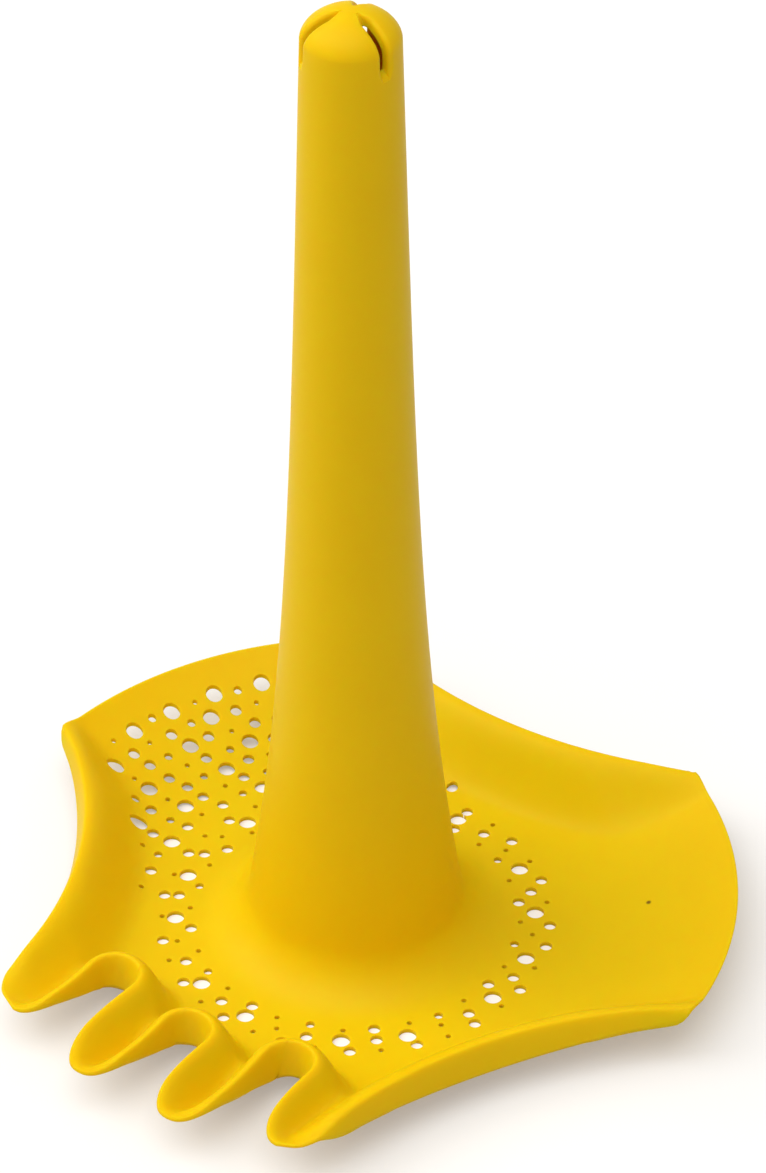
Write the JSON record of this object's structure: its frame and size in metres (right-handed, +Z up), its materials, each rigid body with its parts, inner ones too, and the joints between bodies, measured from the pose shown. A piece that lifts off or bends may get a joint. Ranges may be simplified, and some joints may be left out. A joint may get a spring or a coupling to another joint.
{
  "type": "sand shovel",
  "caption": "Moulded plastic sand tool with a tall hollow handle on a dish whose arms are a plain shovel, a perforated sieve and a tined rake.",
  "frame": {"origin": "on the handle's axis, on the ground plane under the flat floor ring", "axes": "+Z up along the handle, +X along the middle of the shovel arm"},
  "size_m": [0.1834, 0.1957, 0.2704],
  "materials": {
    "yellow_plastic": "satin, finely textured"
  },
  "bodies": {
    "root": {"slotted_cap": "yellow_plastic", "handle_tube": "yellow_plastic", "handle_flare": "yellow_plastic", "sieve_ring": "yellow_plastic", "shovel_blade": "yellow_plastic", "sieve_blade": "yellow_plastic", "rake_blade": "yellow_plastic"}
  },
  "joints": []
}
